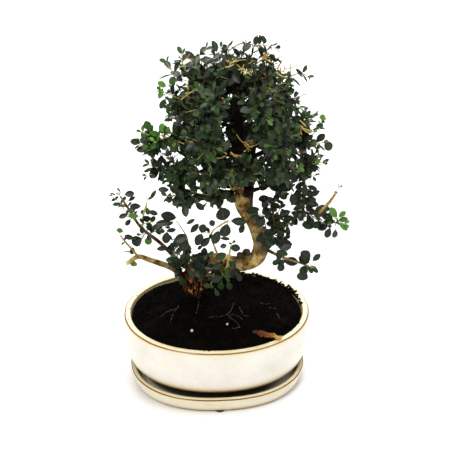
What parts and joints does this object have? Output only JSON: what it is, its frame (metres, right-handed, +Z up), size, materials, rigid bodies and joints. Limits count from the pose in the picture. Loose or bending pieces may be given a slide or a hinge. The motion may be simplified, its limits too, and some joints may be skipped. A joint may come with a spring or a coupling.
{
  "type": "bonsai tree in a pot",
  "caption": "Small-leaved olive bonsai with a curved trunk and a rounded crown, in an oval glazed pot on a matching drip saucer.",
  "frame": {"origin": "on the ground under the middle of the whole plant's bounding box", "axes": "+Z up, +X along the pot's long axis to the right as seen from the front, +Y to the back"},
  "size_m": [0.3152, 0.2368, 0.4734],
  "materials": {
    "ivory_glaze": "glossy ivory glaze that breaks to brown along the rims and the foot",
    "black_rubber": "matt",
    "black_plastic_mesh": "matt",
    "potting_soil": "moist peat and bark compost, very dark",
    "olive_bark": "tan bark with dark specks and reddish wounds",
    "dark_bark": "rough reddish-brown bark",
    "dried_root": "dry, pale",
    "fertiliser_coat": "waxy, cream",
    "perlite": "porous, white",
    "olive_leaf": "small leathery leaves, dark grey-green with a soft sheen",
    "young_leaf": "small young leaves, brighter green"
  },
  "bodies": {
    "root": {"bark_chip": "dark_bark", "drainage_mesh_left": "black_plastic_mesh", "drainage_mesh_right": "black_plastic_mesh", "fertiliser_bead": "fertiliser_coat", "leaves_apex": "olive_leaf", "leaves_bottom_back": "olive_leaf", "leaves_bottom_front": "olive_leaf", "leaves_bottom_left": "olive_leaf", "leaves_bottom_right": "olive_leaf", "leaves_hanging_left": "olive_leaf", "leaves_hanging_right": "young_leaf", "leaves_hanging_tip": "olive_leaf", "leaves_left_lower": "olive_leaf", "leaves_left_pair": "olive_leaf", "leaves_left_upper": "olive_leaf", "leaves_low_right_inner": "olive_leaf", "leaves_low_right_outer": "olive_leaf", "leaves_low_sprig": "olive_leaf", "leaves_lower_back_left": "olive_leaf", "leaves_lower_back_right": "olive_leaf", "leaves_lower_front": "young_leaf", "leaves_lower_front_left": "olive_leaf", "leaves_lower_front_right": "olive_leaf", "leaves_lower_left": "olive_leaf", "leaves_lower_left_sprig": "olive_leaf", "leaves_lower_right": "olive_leaf", "leaves_middle_back_left": "olive_leaf", "leaves_middle_back_right": "olive_leaf", "leaves_middle_front_left": "olive_leaf", "leaves_middle_front_right": "olive_leaf", "leaves_middle_left": "olive_leaf", "leaves_middle_left_tip": "young_leaf", "leaves_middle_right": "olive_leaf", "leaves_middle_sprig": "olive_leaf", "leaves_pair_sprig": "olive_leaf", "leaves_right_high": "olive_leaf", "leaves_right_low": "olive_leaf", "leaves_stump_front": "olive_leaf", "leaves_stump_left": "olive_leaf", "leaves_stump_right": "olive_leaf", "leaves_top_left": "olive_leaf", "leaves_top_right": "olive_leaf", "leaves_upper_back_left": "olive_leaf", "leaves_upper_back_right": "olive_leaf", "leaves_upper_front_left": "olive_leaf", "leaves_upper_front_right": "olive_leaf", "leaves_upper_left": "young_leaf", "leaves_upper_right": "olive_leaf", "perlite_grain": "perlite", "pot": "ivory_glaze", "saucer": "ivory_glaze", "saucer_pad_back": "black_rubber", "saucer_pad_front": "black_rubber", "saucer_pad_left": "black_rubber", "saucer_pad_right": "black_rubber", "soil": "potting_soil", "surface_rootlet_far": "dried_root", "surface_rootlet_left": "dried_root", "surface_rootlet_middle": "dried_root", "trunk_and_branches": "olive_bark"}
  },
  "joints": []
}
